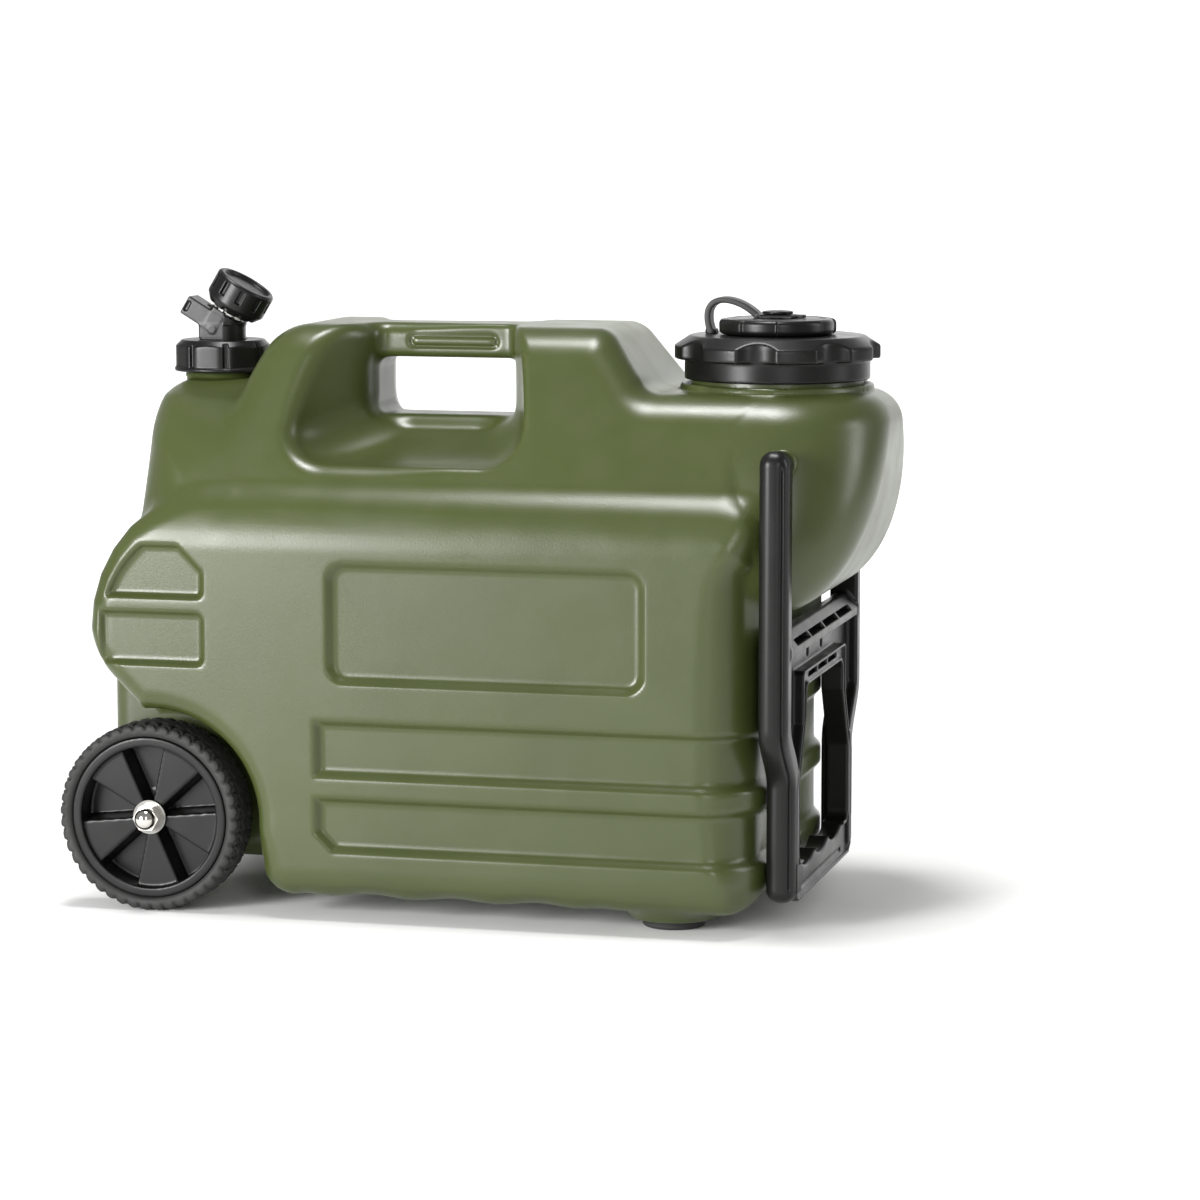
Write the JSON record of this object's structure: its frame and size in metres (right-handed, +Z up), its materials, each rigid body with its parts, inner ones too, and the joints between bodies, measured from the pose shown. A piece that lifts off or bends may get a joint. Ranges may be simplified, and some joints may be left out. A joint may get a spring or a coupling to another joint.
{
  "type": "rolling water carrier",
  "caption": "Blow-moulded green water carrier on wheels, with a scooped carrying grip, a swinging pull handle, a wide screw lid with a strapped filler cap and a leaning dispensing tap.",
  "frame": {"origin": "on the ground, under the middle of the object's overall box", "axes": "+X to the pull-handle end, +Y to the left side seen from the tap end looking along +X, +Z up"},
  "size_m": [0.5235, 0.2656, 0.4082],
  "materials": {
    "green_hdpe": "fine moulded grain, satin",
    "black_plastic": "satin",
    "strap_plastic": "satin, flexible",
    "white_plastic": "gloss",
    "tyre_rubber": "matte",
    "foot_rubber": "matte",
    "seal_rubber": "matte",
    "axle_steel": "zinc plated",
    "nut_chrome": "polished"
  },
  "bodies": {
    "carrier": {"tank": "green_hdpe", "foot_left": "foot_rubber", "foot_right": "foot_rubber", "axle": "axle_steel", "axle_washers": "axle_steel", "dome_nuts": "nut_chrome"},
    "wheel_left": {"wheel_rim_left": "black_plastic", "wheel_tyre_left": "tyre_rubber"},
    "wheel_right": {"wheel_rim_right": "black_plastic", "wheel_tyre_right": "tyre_rubber"},
    "handle": {"pull_handle": "black_plastic"},
    "lid_seal": {"lid_gasket": "seal_rubber"},
    "lid": {"wide_lid": "black_plastic", "cap_strap": "strap_plastic"},
    "cap_button": {"strap_button": "black_plastic"},
    "cap": {"filler_cap": "black_plastic", "filler_cap_gasket": "seal_rubber"},
    "tap_seal": {"tap_gasket": "seal_rubber"},
    "tap": {"tap_body": "black_plastic"},
    "tap_nut": {"tap_ring_nut": "black_plastic"},
    "valve": {"valve_washer": "seal_rubber"},
    "knob": {"tap_knob": "black_plastic", "tap_spindle": "white_plastic", "spindle_oring": "seal_rubber"}
  },
  "joints": [
    {"name": "wheel_left_spin", "type": "hinge", "parent": "carrier", "child": "wheel_left", "pos_m": [-0.20075, 0.105, 0.061], "axis": [0, 1, 0], "continuous": true},
    {"name": "wheel_right_spin", "type": "hinge", "parent": "carrier", "child": "wheel_right", "pos_m": [-0.20075, -0.105, 0.061], "axis": [0, 1, 0], "continuous": true},
    {"name": "handle_swing", "type": "hinge", "parent": "carrier", "child": "handle", "pos_m": [0.208, 0, 0.296], "axis": [0, -1, 0], "range_deg": [0, 140]},
    {"name": "lid_lift", "type": "slide", "parent": "carrier", "child": "lid_seal", "axis": [0, 0, 1], "range_m": [0, 0.015]},
    {"name": "lid_turn", "type": "hinge", "parent": "lid_seal", "child": "lid", "pos_m": [0.18475, 0, 0.36], "axis": [0, 0, 1], "range_deg": [0, 906]},
    {"name": "cap_lift", "type": "slide", "parent": "lid", "child": "cap_button", "axis": [0, 0, 1], "range_m": [0, 0.006], "deforming": ["cap_strap"]},
    {"name": "cap_turn", "type": "hinge", "parent": "cap_button", "child": "cap", "pos_m": [0.18475, 0, 0.375], "axis": [0, 0, 1], "range_deg": [0, 546]},
    {"name": "tap_swivel", "type": "hinge", "parent": "carrier", "child": "tap_seal", "pos_m": [-0.18925, 0, 0.35], "axis": [0, 0, 1], "range_deg": [-180, 180]},
    {"name": "tap_lift", "type": "slide", "parent": "tap_seal", "child": "tap", "axis": [0, 0, 1], "range_m": [0, 0.0105]},
    {"name": "nut_turn", "type": "hinge", "parent": "tap", "child": "tap_nut", "pos_m": [-0.18925, 0, 0.35], "axis": [0, 0, 1], "range_deg": [0, 1086]},
    {"name": "valve_lift", "type": "slide", "parent": "tap", "child": "valve", "axis": [0.515, 0, 0.8572], "range_m": [0, 0.00233]},
    {"name": "knob_turn", "type": "hinge", "parent": "valve", "child": "knob", "pos_m": [-0.18925, 0, 0.37], "axis": [0.515, 0, 0.8572], "range_deg": [0, 426]}
  ],
  "couplings": [
    {"joint": "lid_turn", "follows": "lid_lift", "rad_per_m": 1047.2},
    {"joint": "cap_turn", "follows": "cap_lift", "rad_per_m": 1570.8},
    {"joint": "nut_turn", "follows": "tap_lift", "rad_per_m": 1795.2},
    {"joint": "knob_turn", "follows": "valve_lift", "rad_per_m": 3141.6}
  ]
}
